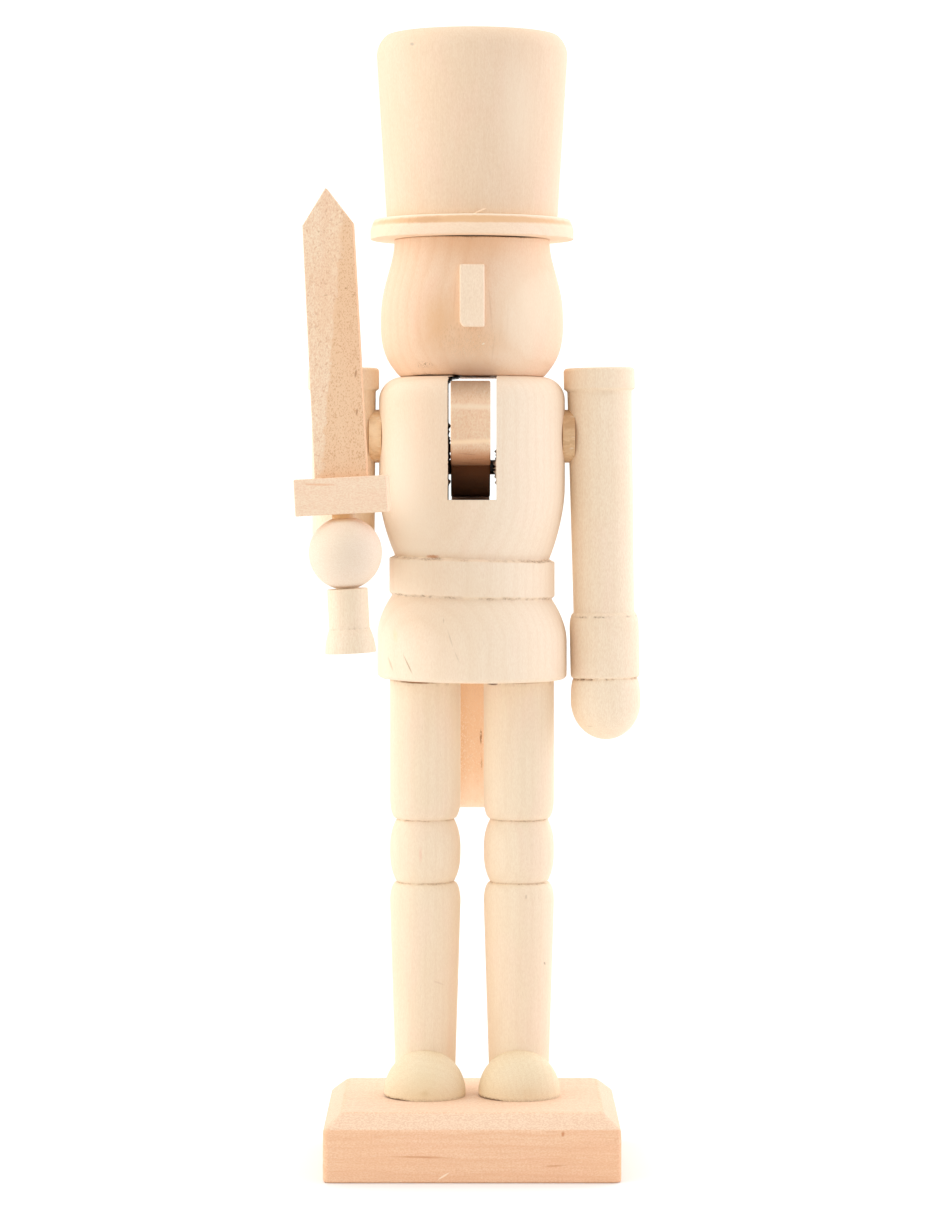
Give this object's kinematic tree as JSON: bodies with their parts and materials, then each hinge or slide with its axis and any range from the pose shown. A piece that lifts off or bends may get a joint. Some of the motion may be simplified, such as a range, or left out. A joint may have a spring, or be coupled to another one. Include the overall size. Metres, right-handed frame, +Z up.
{
  "type": "wooden nutcracker",
  "caption": "Unpainted wooden nutcracker: a turned soldier in a top hat on a chamfered plinth, with a lever jaw, arms that swivel and a wooden sword.",
  "frame": {"origin": "centre of the plinth's underside", "axes": "+Z up, the figure faces -Y, +X towards the figure's left arm"},
  "size_m": [0.0925, 0.0873, 0.3049],
  "materials": {
    "turned_basswood": "turned and sanded basswood, unpainted, faint lathe marks",
    "head_wood": "turned and sanded, tan with wide growth rings, unpainted",
    "foot_wood": "turned and sanded, yellowish, unpainted",
    "nose_wood": "sawn and sanded, pale, unpainted",
    "brim_wood": "turned disc, pinkish, unpainted",
    "plinth_board": "planed board, pinkish with fine grain, unpainted",
    "sword_board": "planed board, pinkish brown and flecked, unpainted",
    "guard_board": "planed board, pinkish, unpainted",
    "lever_board": "sawn board, orange pink, unpainted",
    "dowel_wood": "plain dowel",
    "pin_steel": "plain steel rod"
  },
  "bodies": {
    "figure": {"base_plinth": "plinth_board", "right_foot": "foot_wood", "left_foot": "foot_wood", "right_leg": "turned_basswood", "left_leg": "turned_basswood", "body": "turned_basswood", "head": "head_wood", "nose": "nose_wood", "hat_brim": "brim_wood", "hat_crown": "turned_basswood", "right_shoulder_spacer": "foot_wood", "left_shoulder_spacer": "foot_wood", "jaw_pin": "pin_steel", "right_ankle_dowel": "dowel_wood", "left_ankle_dowel": "dowel_wood", "right_hip_dowel": "dowel_wood", "left_hip_dowel": "dowel_wood", "right_head_dowel": "dowel_wood", "left_head_dowel": "dowel_wood", "hat_dowel": "dowel_wood"},
    "jaw": {"jaw_lever": "lever_board"},
    "straight_arm": {"left_arm": "turned_basswood", "left_shoulder_dowel": "dowel_wood"},
    "sword_arm": {"right_upper_arm": "turned_basswood", "right_forearm": "turned_basswood", "right_elbow_dowel": "dowel_wood", "right_shoulder_dowel": "dowel_wood", "sword_blade": "sword_board", "sword_guard": "guard_board", "sword_hilt": "turned_basswood"}
  },
  "joints": [
    {"name": "jaw_hinge", "type": "hinge", "parent": "figure", "child": "jaw", "pos_m": [0, 0.007, 0.1875], "axis": [1, 0, 0], "range_deg": [0, 25]},
    {"name": "straight_arm_swivel", "type": "hinge", "parent": "figure", "child": "straight_arm", "pos_m": [0, 0.007, 0.1959], "axis": [-1, 0, 0], "range_deg": [-45, 150]},
    {"name": "sword_arm_swivel", "type": "hinge", "parent": "figure", "child": "sword_arm", "pos_m": [0, 0.007, 0.1959], "axis": [-1, 0, 0], "range_deg": [-20, 55]}
  ]
}
